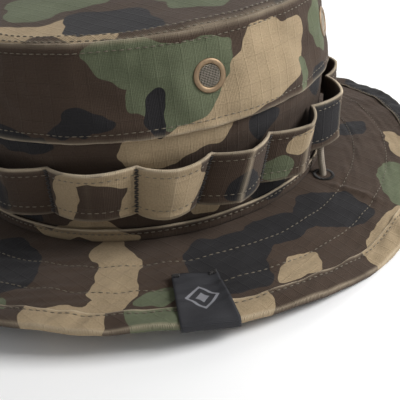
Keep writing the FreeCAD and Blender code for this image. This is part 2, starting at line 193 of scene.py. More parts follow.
def camoCloth(name, kind, spots, shift, patch=17.0, wearAndHighlightAmount=0.75):
    material, tree, shader = newMaterial(name, roughness=0.9, sheen=0.05, specular=0.14)
    where = coordinate(tree, kind)
    drift = addNode(tree, "ShaderNodeTexNoise", None, Vector=where, Scale=46.0, Detail=2.0)
    centred = addNode(tree, "ShaderNodeVectorMath", {"operation": "SUBTRACT"},
                      i0=drift.outputs["Color"], i1=(0.5, 0.5, 0.5))
    scaled = addNode(tree, "ShaderNodeVectorMath", {"operation": "MULTIPLY"},
                     i0=centred.outputs[0], i1=(0.018, 0.018, 0.0))
    warp = addNode(tree, "ShaderNodeVectorMath", {"operation": "ADD"}, i0=where, i1=scaled.outputs[0])
    warped = warp.outputs[0]
    calm = combine(tree, "MINIMUM", spotSum(tree, warped, spots["calm"]), 3.0) if spots else 0.0
    colour = (*ink["brown"], 1)
    for order, patchInk in enumerate(("tan", "green", "black")):
        moved = addNode(tree, "ShaderNodeMapping", None, Vector=warped,
                        Location=(shift + 1.7 * order, shift * 0.6 - 2.3 * order, 0))
        field = addNode(tree, "ShaderNodeTexNoise", None, Vector=moved.outputs[0], Scale=patch, Detail=1.2,
                        Roughness=0.45)
        level = combine(tree, "MULTIPLY", combine(tree, "SUBTRACT", field.outputs["Fac"], 0.565), 9.0)
        level = combine(tree, "SUBTRACT", level, calm)
        if spots.get(patchInk):
            level = combine(tree, "ADD", level, spotSum(tree, warped, spots[patchInk]))
        mask = addNode(tree, "ShaderNodeMapRange", {"interpolation_type": "SMOOTHSTEP"},
                       i0=level, i1=-0.035, i2=0.035).outputs[0]
        colour = mixColour(tree, mask, colour, (*ink[patchInk], 1))
    grain = addNode(tree, "ShaderNodeTexNoise", None, Vector=where, Scale=1300.0, Detail=2.0)
    fade = addNode(tree, "ShaderNodeTexNoise", None, Vector=where, Scale=60.0, Detail=3.0)
    tone = combine(tree, "ADD", combine(tree, "MULTIPLY", grain.outputs["Fac"], 0.5),
                   combine(tree, "MULTIPLY", fade.outputs["Fac"], 0.45))
    tone = combine(tree, "ADD", tone, 0.53)
    grey = addNode(tree, "ShaderNodeCombineColor", None, i0=tone, i1=tone, i2=tone).outputs[0]
    colour = mixColour(tree, 1.0, colour, grey, "MULTIPLY")
    # lightens folded edges, hems and loop ridges towards the worn colour: partly rubbed wear, partly a
    # painted highlight where light catches them
    wearAndHighlight = addNode(tree, "ShaderNodeAttribute", {"attribute_name": "edgeWearAndHighlight"}).outputs["Fac"]
    uneven = combine(tree, "MULTIPLY", fade.outputs["Fac"], 2 * wearAndHighlightAmount)
    patchyWearAndHighlight = combine(tree, "MULTIPLY", wearAndHighlight, uneven, True)
    colour = mixColour(tree, patchyWearAndHighlight, colour, (*ink["wornAndLit"], 1))
    tree.links.new(colour, shader.inputs["Base Color"])
    fuzz = combine(tree, "MULTIPLY", grain.outputs["Fac"], 0.4)
    height = combine(tree, "ADD", weaveHeight(tree, where, 0.00062), fuzz)
    addBump(tree, shader, height, 0.00016)
    return material


def wallSpot(azimuth, rise, halfLong, halfShort, turn=0.0, strength=7.2):
    # millimetres on the unrolled wall
    return (math.radians(azimuth) * radius, rise / 1000, halfLong / 1000, halfShort / 1000, turn, strength)


def brimSpot(azimuth, offset, halfLong, halfShort, turn=0.0, strength=7.2):
    # turn is from the radial direction
    centre = place(azimuth, offset / 1000, 0)
    radial = math.degrees(math.atan2(outward(azimuth).y, outward(azimuth).x))
    return (centre.x, centre.y, halfLong / 1000, halfShort / 1000, radial + turn, strength)


wallSpots = {
    "calm": [wallSpot(230, 45, 110, 110, 0, 9.0)],
    "tan": [wallSpot(252, 60, 32, 7, 24), wallSpot(266, 72, 15, 15, 0), wallSpot(233, 47, 14, 4.5, 6),
            wallSpot(203, 4, 32, 5, 0), wallSpot(242, 10, 9, 5, 0)],
    "green": [wallSpot(237, 74, 26, 13, 14), wallSpot(222, 84, 14, 6, 0), wallSpot(275, 60, 4, 8, 0),
              wallSpot(288, 74, 8, 12, 0)],
    "black": [wallSpot(232, 64, 4.5, 11, -14), wallSpot(214, 60, 12, 5, 0), wallSpot(190, 49, 22, 7, 0),
              wallSpot(261, 46, 7, 5, 0), wallSpot(188, 12, 12, 8, 0), wallSpot(262, 10, 12, 7, 0),
              wallSpot(286, 50, 9, 10, 0)],
}
brimSpots = {
    "calm": [brimSpot(230, 30, 110, 110, 0, 9.0)],
    "tan": [brimSpot(217.5, 22, 22, 8.5, 6), brimSpot(211, 52, 6, 15, 0), brimSpot(272, 50, 5, 26, 0),
            brimSpot(252, 44, 6, 14, 10), brimSpot(303, 46, 7, 20, 20)],
    "green": [brimSpot(226, 41, 9, 11, 0), brimSpot(290, 42, 7, 16, 10), brimSpot(199, 54, 6, 12, 0)],
    "black": [brimSpot(190, 25, 22, 34, 0), brimSpot(241, 30, 15, 12, 24), brimSpot(256, 17, 9, 24, -8),
              brimSpot(273, 26, 12, 9, 20), brimSpot(312, 20, 14, 12, 0)],
}
bindingSpots = {
    "calm": [brimSpot(240, 54, 90, 90, 0, 9.0)],
    "tan": [brimSpot(239, 54, 12, 9, 0), brimSpot(272, 54, 20, 26, 0), brimSpot(212, 54, 12, 14, 0)],
    "green": [brimSpot(227, 54, 12, 10, 0)],
}
bandSpots = {
    "calm": [wallSpot(232, 28, 100, 60, 0, 9.0)],
    "tan": [wallSpot(205.5, 28, 6, 15, 0), wallSpot(231, 28, 12, 17, 0), wallSpot(216, 38, 9, 3, 0),
            wallSpot(268, 34, 9, 5, 20)],
    "black": [wallSpot(250, 22, 8, 7, 0), wallSpot(284, 30, 9, 9, 0), wallSpot(186, 26, 9, 8, 0)],
    "green": [wallSpot(262, 24, 6, 6, 0)],
}

wallCamo = camoCloth("wallCamo", "UV", wallSpots, 3.1)
brimCamo = camoCloth("brimCamo", "Object", brimSpots, 5.2)
topCamo = camoCloth("topCamo", "Object", {}, 1.4)
underCamo = camoCloth("underCamo", "Object", {}, 9.3)
bindingCamo = camoCloth("bindingCamo", "Object", bindingSpots, 7.7)
bandCamo = camoCloth("bandCamo", "UV", bandSpots, 2.6)
print("camouflage cloth made")


def plainCloth(name, colour, pitch, kind="UV", tone=0.25):
    material, tree, shader = newMaterial(name, roughness=0.9, sheen=0.1, specular=0.2)
    where = coordinate(tree, kind)
    grain = addNode(tree, "ShaderNodeTexNoise", None, Vector=where, Scale=700.0, Detail=3.0)
    dark = tuple(part * (1 - tone) for part in colour)
    light = tuple(min(part * (1 + tone), 1) for part in colour)
    shade = mixColour(tree, grain.outputs["Fac"], (*dark, 1), (*light, 1))
    tree.links.new(shade, shader.inputs["Base Color"])
    addBump(tree, shader, weaveHeight(tree, where, pitch, 0.02), 0.0002)
    return material


def threadMaterial(name, colour):
    material, tree, shader = newMaterial(name, roughness=0.6, sheen=0.1, specular=0.4)
    where = coordinate(tree, "Object")
    grain = addNode(tree, "ShaderNodeTexNoise", None, Vector=where, Scale=900.0, Detail=2.0)
    tree.links.new(mixColour(tree, grain.outputs["Fac"], (*[part * 0.6 for part in colour], 1),
                             (*[part * 1.7 for part in colour], 1)), shader.inputs["Base Color"])
    twist = addNode(tree, "ShaderNodeTexWave", {"bands_direction": "DIAGONAL"}, Vector=where, Scale=900.0)
    addBump(tree, shader, twist.outputs["Fac"], 0.00008)
    return material


def metalMaterial(name, colour, roughness, tarnish):
    material, tree, shader = newMaterial(name, roughness=roughness, metallic=1.0, specular=0.5)
    where = coordinate(tree, "Object")
    patches = addNode(tree, "ShaderNodeTexNoise", None, Vector=where, Scale=420.0, Detail=4.0)
    scratches = addNode(tree, "ShaderNodeTexNoise", None, Vector=where, Scale=2600.0, Detail=2.0)
    shade = mixColour(tree, patches.outputs["Fac"], (*tarnish, 1), (*colour, 1))
    tree.links.new(shade, shader.inputs["Base Color"])
    rough = combine(tree, "ADD", combine(tree, "MULTIPLY", patches.outputs["Fac"], 0.3), roughness - 0.12)
    tree.links.new(rough, shader.inputs["Roughness"])
    addBump(tree, shader, scratches.outputs["Fac"], 0.00003)
    return material


def cordMaterial():
    # a braid of crossing strands, in the cord's own UV: along it and round it
    material, tree, shader = newMaterial("cordBraid", roughness=0.8, sheen=0.15, specular=0.25)
    where = coordinate(tree, "UV")
    total = None
    for slope in (1, -1):
        turned = addNode(tree, "ShaderNodeMapping", None, Vector=where, Scale=(1300.0, 7.854 * slope, 1.0))
        strand = addNode(tree, "ShaderNodeTexWave", {"bands_direction": "DIAGONAL", "wave_profile": "SIN"},
                         Vector=turned.outputs[0], Scale=0.32)
        fact = strand.outputs["Fac"]
        total = fact if total is None else combine(tree, "MAXIMUM", total, fact)
    grain = addNode(tree, "ShaderNodeTexNoise", None, Vector=coordinate(tree, "Object"), Scale=1500.0,
                    Detail=2.0)
    # the grooves between strands are coloured darker than the strands: painted shade; the grain adds random
    # tone
    shade = combine(tree, "MULTIPLY", combine(tree, "ADD", total, grain.outputs["Fac"]), 0.55)
    grooveShadedStrands = mixColour(tree, shade, (0.20, 0.165, 0.125, 1), (*ink["cord"], 1))
    tree.links.new(grooveShadedStrands, shader.inputs["Base Color"])
    addBump(tree, shader, total, 0.0004)
    return material


def labelMaterial():
    # black satin weave
    material, tree, shader = newMaterial("labelWeave", roughness=0.65, specular=0.25)
    where = coordinate(tree, "UV")
    rib = addNode(tree, "ShaderNodeTexWave", {"bands_direction": "Y"}, Vector=where,
                  Scale=waveScale / 0.0005)
    fleck = addNode(tree, "ShaderNodeTexNoise", None, Vector=where, Scale=2000.0)
    base = mixColour(tree, fleck.outputs["Fac"], (0.010, 0.010, 0.012, 1), (0.030, 0.030, 0.034, 1))
    # a plain diamond inside a diamond, woven in grey
    parts = addNode(tree, "ShaderNodeSeparateXYZ", None, Vector=where)
    aside = combine(tree, "ABSOLUTE", combine(tree, "SUBTRACT", parts.outputs["X"], 0.0105), 0.0)
    ahead = combine(tree, "ABSOLUTE", combine(tree, "SUBTRACT", parts.outputs["Y"], 0.0145), 0.0)
    reach = combine(tree, "ADD", aside, ahead)
    ring = combine(tree, "ABSOLUTE", combine(tree, "SUBTRACT", reach, 0.0062), 0.0)
    mark = combine(tree, "MAXIMUM", combine(tree, "LESS_THAN", ring, 0.0007),
                   combine(tree, "LESS_THAN", reach, 0.0028))
    base = mixColour(tree, combine(tree, "MULTIPLY", mark, 0.85), base, (0.24, 0.24, 0.26, 1))
    tree.links.new(base, shader.inputs["Base Color"])
    addBump(tree, shader, rib.outputs["Fac"], 0.00012)
    return material


def plasticMaterial(name, colour):
    material, tree, shader = newMaterial(name, roughness=0.42, specular=0.5)
    where = coordinate(tree, "Object")
    texture = addNode(tree, "ShaderNodeTexNoise", None, Vector=where, Scale=1800.0, Detail=3.0)
    scuff = addNode(tree, "ShaderNodeTexNoise", None, Vector=where, Scale=240.0, Detail=4.0)
    tree.links.new(mixColour(tree, scuff.outputs["Fac"], (*[part * 0.8 for part in colour], 1),
                             (*[part * 1.3 for part in colour], 1)), shader.inputs["Base Color"])
    tree.links.new(combine(tree, "ADD", combine(tree, "MULTIPLY", scuff.outputs["Fac"], 0.3), 0.3),
                   shader.inputs["Roughness"])
    addBump(tree, shader, texture.outputs["Fac"], 0.00005)
    return material


darkThread = threadMaterial("darkThread", ink["thread"])
seamThread = threadMaterial("seamThread", ink["seam"])
brassRim = metalMaterial("brassRim", (0.30, 0.215, 0.135), 0.46, (0.11, 0.075, 0.048))
wireScreen = metalMaterial("wireScreen", (0.50, 0.45, 0.38), 0.55, (0.30, 0.27, 0.22))
springSteel = metalMaterial("springSteel", (0.62, 0.62, 0.63), 0.25, (0.45, 0.45, 0.46))
oliveTape = plainCloth("oliveTape", ink["olive"], 0.0009)
coreCloth = plainCloth("coreCloth", (0.42, 0.39, 0.33), 0.0008, "Object")
careWeave = plainCloth("careWeave", (0.68, 0.67, 0.62), 0.0005)
cordBraid = cordMaterial()
labelWeave = labelMaterial()
lockPlastic = plasticMaterial("lockPlastic", (0.035, 0.036, 0.030))
print("materials made")


# helpers that make pieces
def finishPiece(name, mesh, material, nodes=(), body="root", modifiers=()):
    data = bpy.data.meshes.new(name)
    mesh.to_mesh(data)
    mesh.free()
    for face in data.polygons:
        face.use_smooth = True
    data.materials.append(material)
    piece = bpy.data.objects.new(name, data)
    scene.collection.objects.link(piece)
    for kind, settings in modifiers:
        modifier = piece.modifiers.new(kind.lower(), kind)
        for key, value in settings.items():
            setattr(modifier, key, value)
    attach(piece, body)
    if nodes:
        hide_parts(*nodes)
    return piece


def sheetMesh(counts, shape, flat, wearAndHighlight=None, closed=False, flip=False):
    # a grid laid onto shape(u, v); flat gives the cloth's own place in metres for the weave and print
    mesh = bmesh.new()
    bmesh.ops.create_grid(mesh, x_segments=counts[0], y_segments=counts[1], size=0.5)
    printed = mesh.loops.layers.uv.new("UVMap")
    # the edgeWearAndHighlight layer holds rubbed wear and a painted highlight for each corner
    wornAndLit = mesh.verts.layers.float.new("edgeWearAndHighlight")
    for face in mesh.faces:
        for loop in face.loops:
            u, v = loop.vert.co.x + 0.5, loop.vert.co.y + 0.5
            loop[printed].uv = flat(u, v)
    for vert in mesh.verts:
        u, v = vert.co.x + 0.5, vert.co.y + 0.5
        vert[wornAndLit] = wearAndHighlight(u, v) if wearAndHighlight else 0.0
        vert.co = shape(u, v)
    if closed:
        bmesh.ops.remove_doubles(mesh, verts=mesh.verts, dist=1e-6)
    if flip:
        bmesh.ops.reverse_faces(mesh, faces=mesh.faces)
    return mesh


def thick(amount, offset=-1.0):
    return ("SOLIDIFY", {"thickness": amount, "offset": offset})


def stitchShape():
    mesh = bmesh.new()
    bmesh.ops.create_uvsphere(mesh, u_segments=6, v_segments=4, radius=1.0)
    mesh.verts.index_update()
    corners = [vert.co.copy() for vert in mesh.verts]
    faces = [[vert.index for vert in face.verts] for face in mesh.faces]
    mesh.free()
    return corners, faces


stitchCorners, stitchFaces = stitchShape()


def addStitch(mesh, centre, direction, up, length=0.0022, width=0.00042, height=0.00034):
    forward = direction.normalized()
    side = up.cross(forward).normalized()
    lift = forward.cross(side)
    turn = Matrix((forward * length / 2, side * width / 2, lift * height)).transposed()
    copies = [mesh.verts.new(centre + turn @ corner) for corner in stitchCorners]
    for face in stitchFaces:
        mesh.faces.new([copies[i] for i in face])


def stitchRow(mesh, point, up, start, end, pitch=0.0030, **size):
    # point(a) and up(a) follow a line of stitching from one azimuth to another
    reach = abs(end - start)
    step = 0.5
    travelled = 0.0
    previous = point(start)
    marks = [(0.0, start)]
    for i in range(1, int(reach / step) + 1):
        a = start + step * i
        here = point(a)
        travelled += (here - previous).length
        marks.append((travelled, a))
        previous = here
    count = int(travelled / pitch)
    index = 0
    for i in range(count):
        goal = (i + 0.5) * pitch
        while index < len(marks) - 2 and marks[index + 1][0] < goal:
            index += 1
        low, high = marks[index], marks[index + 1]
        share = (goal - low[0]) / max(high[0] - low[0], 1e-9)
        a = low[1] + (high[1] - low[1]) * share
        wander = 0.6 * math.sin(i * 2.3)
        heading = point(a + 0.3) - point(a - 0.3)
        heading = heading + up(a).cross(heading) * 0.05 * wander
        addStitch(mesh, point(a), heading, up(a), **size)


# cord
cord = {"radius": 0.00175, "length": 0.725}
cordHalf = [
    (-0.0906, -0.0345, 0.0430), (-0.0923, -0.0288, 0.0260), (-0.0989, -0.0249, 0.0084),
    (-0.0964, -0.0135, 0.0019), (-0.0900, 0.0140, 0.0019), (-0.0780, 0.0450, 0.0019),
    (-0.0550, 0.0710, 0.0019), (-0.0250, 0.0790, 0.0019), (-0.0065, 0.0590, 0.0046),
    (-0.0023, 0.0320, 0.0063), (-0.0023, -0.0230, 0.0063), (-0.0080, -0.0510, 0.0046),
    (-0.0170, -0.0710, 0.0019), (-0.0125, -0.0920, 0.0019),
]


def makeCord():
    route = cordHalf + [(-x, y, z) for x, y, z in reversed(cordHalf)]
    curve = bpy.data.curves.new("chinCord", "CURVE")
    curve.dimensions = "3D"
    curve.bevel_depth = cord["radius"]
    curve.bevel_resolution = 3
    curve.use_fill_caps = True
    curve.resolution_u = 10
    line = curve.splines.new("NURBS")
    line.points.add(len(route) - 1)
    for point, where in zip(line.points, route):
        point.co = (*where, 1)
    line.order_u = 3
    line.use_endpoint_u = True
    curve.materials.append(cordBraid)
    piece = bpy.data.objects.new("chinCord", curve)
    scene.collection.objects.link(piece)
    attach(piece, "root")
    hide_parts("chin_cord")
    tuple(cordHalf[0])


makeCord()
print("cord laid")


# crown
crown = {"columns": 480, "upperRows": 36, "lowerRows": 30, "cloth": 0.0009}
vents = {
    "azimuths": (65.0, 115.0, 245.0, 295.0), "rise": 0.072, "outer": 0.0070, "hole": 0.0046, "cut": 0.00448,
    "rimFace": 0.00055, "rimBack": 0.0006, "rimLift": 0.00005, "wire": 0.00024, "weave": 0.00010, "wires": 15,
}


def upperOffset(rise):
    foot = hat["foldOffset"] + crown["cloth"] + 0.00015
    share = max((rise - hat["foldRise"]) / (hat["topRise"] - hat["foldRise"]), 0)
    return foot + (hat["topOffset"] - foot) * share


def upperWall(azimuth, rise):
    share = (rise - 0.051) / 0.039
    soft = 4 * share * (1 - share)
    turn = math.radians(azimuth)
    swell = soft * (0.0010 + 0.0011 * math.sin(3 * turn + 0.7) + 0.0007 * math.sin(8 * turn + rise * 60))
    x, y = math.sin(turn), math.cos(turn)
    swell += 0.0016 * crumple(x * 0.09, y * 0.09, rise, 0.022) * (0.35 + soft)
    swell += 0.0007 * crumple(x * 0.09, y * 0.09, rise, 0.008)
    swell -= 0.00045 * near(rise, 0.0545, 0.0012)
    swell += 0.00035 * near(rise, 0.0515, 0.0012)
    flat = 1.0
    for vent in vents["azimuths"]:
        reach = math.hypot(math.radians(azimuth - vent) * radius, rise - vents["rise"])
        flat = min(flat, max((reach - 0.006) / 0.008, 0))
    return place(azimuth, upperOffset(rise) + swell * (0.25 + 0.75 * min(flat, 1)), hat["base"] + rise)


def makeUpperWall():
    def shape(u, v):
        return upperWall(360 * u, 0.051 + 0.0395 * v)

    def flat(u, v):
        return (2 * math.pi * u * radius, 0.051 + 0.0395 * v)

    # worn colour at the fold edge and the top edge: rubbed wear and a painted highlight where they catch
    # light
    def wearAndHighlight(u, v):
        return 0.75 * near(v, 0.0, 0.020) + 0.5 * near(v, 1.0, 0.03)

    mesh = sheetMesh((crown["columns"], crown["upperRows"]), shape, flat, wearAndHighlight, closed=True)
    holes = []
    for face in mesh.faces:
        centre = face.calc_center_median()
        for vent in vents["azimuths"]:
            middle = place(vent, upperOffset(vents["rise"]), hat["base"] + vents["rise"])
            if (centre - middle).length < vents["cut"]:
                holes.append(face)
                break
    bmesh.ops.delete(mesh, geom=holes, context="FACES")
    piece = finishPiece("crownUpperWall", mesh, wallCamo, ("crown_upper_wall",),
                        modifiers=[thick(crown["cloth"])])


def lowerOffset(rise):
    return hat["foldOffset"] * rise / hat["foldRise"]


def lowerWall(azimuth, rise):
    turn = math.radians(azimuth)
    x, y = math.sin(turn), math.cos(turn)
    swell = 0.0007 * crumple(x * 0.09, y * 0.09, rise, 0.018) - 0.0005
    swell += 0.0003 * crumple(x * 0.09, y * 0.09, rise, 0.006)
    swell -= 0.0006 * near(rise, 0.028, 0.012)
    return place(azimuth, lowerOffset(rise) + swell, hat["base"] + rise)


def makeLowerWall():
    def shape(u, v):
        return lowerWall(360 * u, 0.0008 + 0.0532 * v)

    def flat(u, v):
        return (2 * math.pi * u * radius, 0.0008 + 0.0532 * v)

    mesh = sheetMesh((crown["columns"], crown["lowerRows"]), shape, flat, closed=True)
    piece = finishPiece("crownLowerWall", mesh, wallCamo, ("crown_lower_wall",),
                        modifiers=[thick(crown["cloth"])])


def makeHemLip():
    # the hem turned up at the crown's foot, its folded edge standing a little proud
    def shape(u, v):
        azimuth = 360 * u
        rise = 0.0012 + 0.0062 * v
        proud = 0.0013 + 0.0005 * near(v, 1.0, 0.2) + 0.0003 * crumple(math.cos(u * 6.283) * 0.09,
                                                                     math.sin(u * 6.283) * 0.09, 0, 0.007)
        rise += 0.0004 * crumple(math.cos(u * 6.283) * 0.09, math.sin(u * 6.283) * 0.09, 3, 0.02)
        return place(azimuth, lowerOffset(rise) + proud - 0.0004 * near(v, 0.62, 0.14), hat["base"] + rise)

    def flat(u, v):
        return (2 * math.pi * u * radius, 0.001 + 0.0062 * v)

    # worn colour along the folded top edge: rubbed wear and a painted highlight
    def wearAndHighlight(u, v):
        return near(v, 1.0, 0.10)

    mesh = sheetMesh((480, 8), shape, flat, wearAndHighlight, closed=True)
    finishPiece("hemLip", mesh, wallCamo, ("hem_lip",), modifiers=[thick(0.0009)])


def topPoint(x, y):
    # x and y run from -1 to 1 over the oval
    spread = math.hypot(x, y)
    halfWidth = hat["halfWidth"] + hat["topOffset"] - 0.0004
    halfDepth = hat["halfDepth"] + hat["topOffset"] - 0.0004
    z = hat["base"] + hat["topRise"] + 0.0009 + 0.0052 * (1 - spread ** 2)
    z += 0.0011 * crumple(x * 0.09, y * 0.09, 1, 0.035) + 0.0005 * crumple(x * 0.09, y * 0.09, 2, 0.012)
    z += 0.0008 * near(spread, 0.955, 0.02) - 0.0007 * near(spread, 1.0, 0.015)
    return Vector((x * halfWidth, y * halfDepth, z))


def makeCrownTop():
    def disc(u, v):
        x, y = 2 * u - 1, 2 * v - 1
        return x * math.sqrt(1 - y * y / 2), y * math.sqrt(1 - x * x / 2)

    def shape(u, v):
        return topPoint(*disc(u, v))

    def flat(u, v):
        x, y = disc(u, v)
        return (x * 0.092, y * 0.094)

    # worn colour round the rim: rubbed wear and a painted highlight
    mesh = sheetMesh((96, 96), shape, flat, lambda u, v: 0.5 * near(math.hypot(*disc(u, v)), 1.0, 0.02))
    piece = finishPiece("crownTop", mesh, topCamo, ("crown_top",),
                        modifiers=[thick(crown["cloth"])])


makeUpperWall()
makeLowerWall()
makeHemLip()
makeCrownTop()
print("crown made")


# brim
brim = {"rowShares": (0.335, 0.625), "bindingWidth": 0.0092}
bindingFoot = hat["brimWidth"] - brim["bindingWidth"]


def brimMid(azimuth, offset):
    share = min(max(offset, 0) / hat["brimWidth"], 1)
    edge = hat["brimWave"] * (1 - math.sin(math.radians(3 * azimuth))) + hat["plyHalf"]
    return hat["base"] + (edge - hat["base"]) * share ** hat["brimCurve"]


def brimRipple(azimuth, offset):
    # soft waves that grow towards the edge, and puckers along the stitching
    share = offset / hat["brimWidth"]
    turn = math.radians(azimuth)
    x, y = math.sin(turn) * (radius + offset), math.cos(turn) * (radius + offset)
    lift = 0.0006 * share * share * (1.3 + math.sin(9 * turn + 1.0) + 0.7 * math.sin(14 * turn + 2.2))
    lift += 0.0013 * crumple(x, y, 0, 0.024) * share + 0.0005 * crumple(x, y, 5, 0.009)
    for row in brim["rowShares"]:
        away = offset - row * hat["brimWidth"]
        lift -= 0.00040 * near(away, 0, 0.0010)
        beat = math.sin((radius + offset) * turn / 0.0040 + 3 * math.sin(5 * turn))
        lift += 0.00034 * near(away, 0, 0.0050) * beat
    # a crease that runs outwards from the cord's eyelet on each side
    for crease in (281.0, 79.0):
        lift += 0.0013 * near(azimuth, crease, 0.9) * near(share, 0.46, 0.24)
    away = offset - bindingFoot
    lift += 0.00030 * near(away, -0.002, 0.0045) * math.sin((radius + offset) * turn / 0.0032)
    return lift


def brimTopPoint(azimuth, offset, above=0.0011):
    return place(azimuth, offset, brimMid(azimuth, offset) + above + brimRipple(azimuth, offset))


# height of each layer's upper face over the brim's middle, its thickness, its grid and which way it faces
brimLayers = {
    "brimTopCloth": {"above": 0.0011, "thickness": 0.0005, "grid": (720, 44), "inset": 0.0, "flip": True},
    "brimCore": {"above": 0.00015, "thickness": 0.0006, "grid": (720, 44), "inset": 0.0006, "flip": True},
    "brimUnderCloth": {"above": -0.0011, "thickness": 0.0005, "grid": (480, 32), "inset": 0.0, "flip": False},
}


def brimSheet(name, material, node):
    layer = brimLayers[name]
    outer = hat["brimWidth"] - 0.0004 - layer["inset"]

    def shape(u, v):
        return brimTopPoint(360 * u, -0.0004 + (outer + 0.0004) * v, layer["above"])

    def flat(u, v):
        return (2 * math.pi * u * 0.12, v * hat["brimWidth"])

    mesh = sheetMesh(layer["grid"], shape, flat, closed=True, flip=layer["flip"])
    piece = finishPiece(name, mesh, material, (node,), modifiers=[thick(layer["thickness"])])


def makeBrim():
    brimSheet("brimTopCloth", brimCamo, "brim_top_cloth")
    brimSheet("brimCore", coreCloth, "brim_stiffener")
    brimSheet("brimUnderCloth", underCamo, "brim_under_cloth")


def bindingPoint(azimuth, share):
    # once round the fold: top leg from the crown side out, round the edge and back underneath
    leg = brim["bindingWidth"]
    turn = math.radians(azimuth)
    half = 0.00172
    if share < 0.44:
        offset = bindingFoot + leg * share / 0.44
        rise = 1.0
    elif share > 0.56:
        offset = bindingFoot + leg * (1 - share) / 0.44
        rise = -1.0
    else:
        angle = math.pi * (share - 0.44) / 0.12
        offset = hat["brimWidth"] + 0.0006 * math.sin(angle)
        rise = math.cos(angle)
    inner = (offset - bindingFoot) / leg
    x, y = math.sin(turn) * 0.15, math.cos(turn) * 0.15
    crease = 0.00022 * math.sin(turn * 150 / 0.0034 * 0.001 + inner * 5.0 + 2 * math.sin(17 * turn))
    crease += 0.00055 * crumple(x, y, offset, 0.006)
    pressed = -0.00040 * near(offset, bindingFoot + 0.0016, 0.0009)
    thickness = half + (crease + pressed) * (1 if rise > 0 else 0.25)
    onBrim = min(offset, hat["brimWidth"])
    middle = brimMid(azimuth, onBrim) + brimRipple(azimuth, onBrim)
    return place(azimuth, offset, max(middle + rise * thickness, 0.0006))


def makeBinding():
    def shape(u, v):
        return bindingPoint(360 * u, v)

    def flat(u, v):
        return (2 * math.pi * u * 0.15, v * 0.020)

    # worn colour at the binding's foot and its outer fold: rubbed wear and a painted highlight
    def wearAndHighlight(u, v):
        return 0.8 * near(v, 0.0, 0.022) + 0.55 * near(v, 0.47, 0.03)

    mesh = sheetMesh((900, 34), shape, flat, wearAndHighlight, closed=True, flip=True)
    piece = finishPiece("brimBinding", mesh, bindingCamo, ("brim_binding",),
                        modifiers=[thick(0.0004)])


makeBrim()
makeBinding()
print("brim made")


# foliage band
band = {
    "tacks": [179.0, 201.5, 224.0, 241.0, 259.0, 280.0], "loops": 16, "low": 0.017, "high": 0.0395,
    "gap": 0.0086, "ply": 0.0013,
}
# lean of each tack in degrees from its foot to its top, and how far each loop is creased outwards
tackLean = [0.0, 0.6, 1.6, 5.0, 4.0, 2.0, 1.0, -1.0, 0.5, 1.5, -0.8, 0.6, 1.2, -1.0, 0.4, 0.8]
loopCrease = [0.15, 0.1, 0.25, 0.85, 0.9, 0.6, 0.3, 0.5, 0.2, 0.7, 0.3, 0.1, 0.5, 0.3, 0.6, 0.2]
loopDepth = [0.75, 0.72, 0.85, 1.0, 1.0, 0.98, 0.9, 0.85, 1.0, 0.8, 0.95, 0.9, 0.8, 1.0, 0.85, 0.9]


def allTacks():
    first, last = band["tacks"][0], band["tacks"][-1]
    remaining = band["loops"] - len(band["tacks"]) + 1
    step = (first + 360 - last) / remaining
    return band["tacks"] + [last + step * i for i in range(1, remaining)]


tacks = allTacks()


def bandPoint(loop, share, v, depth=0.0):
    start = tacks[loop]
    end = tacks[loop + 1] if loop + 1 < len(tacks) else tacks[0] + 360
    lean = tackLean[loop] * (1 - share) + tackLean[(loop + 1) % len(tacks)] * share
    azimuth = start + (end - start) * share + lean * (v - 0.5)
    swell = math.sin(math.pi * share) ** 0.8
    ridge = 1 - abs(2 * share - 1)
    crease = loopCrease[loop]
    rounded = swell * (1 - crease) + crease * (0.35 * swell + 0.75 * ridge ** 0.9)
    out = loopDepth[loop] * band["gap"] * rounded
    out *= 1.0 + 0.14 * (v - 0.5) * math.sin(loop * 1.9)
    hem = 0.00035 * (near(v, 0.0, 0.10) + near(v, 1.0, 0.10))
    hem -= 0.0003 * (near(v, 0.17, 0.03) + near(v, 0.84, 0.03))
    x, y = math.sin(math.radians(azimuth)) * 0.1, math.cos(math.radians(azimuth)) * 0.1
    out += hem + 0.0004 * crumple(x, y, v * 0.02, 0.009) * swell
    rise = band["low"] + (band["high"] - band["low"]) * v
    rise += 0.0006 * math.sin(loop * 2.4) * swell + 0.0003 * crumple(x, y, 1, 0.02)
    foot = lowerOffset(band["high"]) * 0.6 + lowerOffset(rise) * 0.4 + 0.0004 + band["ply"]
    return place(azimuth, foot + out + depth, hat["base"] + rise)


def bandPlace(u):
    scaled = u * band["loops"]
    loop = min(int(scaled), band["loops"] - 1)
    return loop, scaled - loop


def makeBand():
    def shape(u, v):
        loop, share = bandPlace(u)
        return bandPoint(loop, share, v)

    def flat(u, v):
        loop, share = bandPlace(u)
        start = tacks[loop]
        end = tacks[loop + 1] if loop + 1 < len(tacks) else tacks[0] + 360
        return (math.radians(start + (end - start) * share) * radius, band["low"] + 0.0225 * v)

    # worn colour on the band's edges and creased loop ridges: rubbed wear and a painted highlight
    def wearAndHighlight(u, v):
        loop, share = bandPlace(u)
        ridge = near(share, 0.5, 0.035) * loopCrease[loop]
        return 0.9 * near(v, 1.0, 0.035) + 0.5 * near(v, 0.0, 0.03) + 0.55 * ridge

    mesh = sheetMesh((band["loops"] * 30, 18), shape, flat, wearAndHighlight, closed=True)
    piece = finishPiece("foliageBand", mesh, bandCamo, ("foliage_band",),
                        modifiers=[thick(band["ply"])])


def bandNormal(loop, share, v):
    side = bandPoint(loop, min(share + 0.02, 1), v) - bandPoint(loop, max(share - 0.02, 0), v)
    up = bandPoint(loop, share, min(v + 0.05, 1)) - bandPoint(loop, share, max(v - 0.05, 0))
    return side.cross(up).normalized()


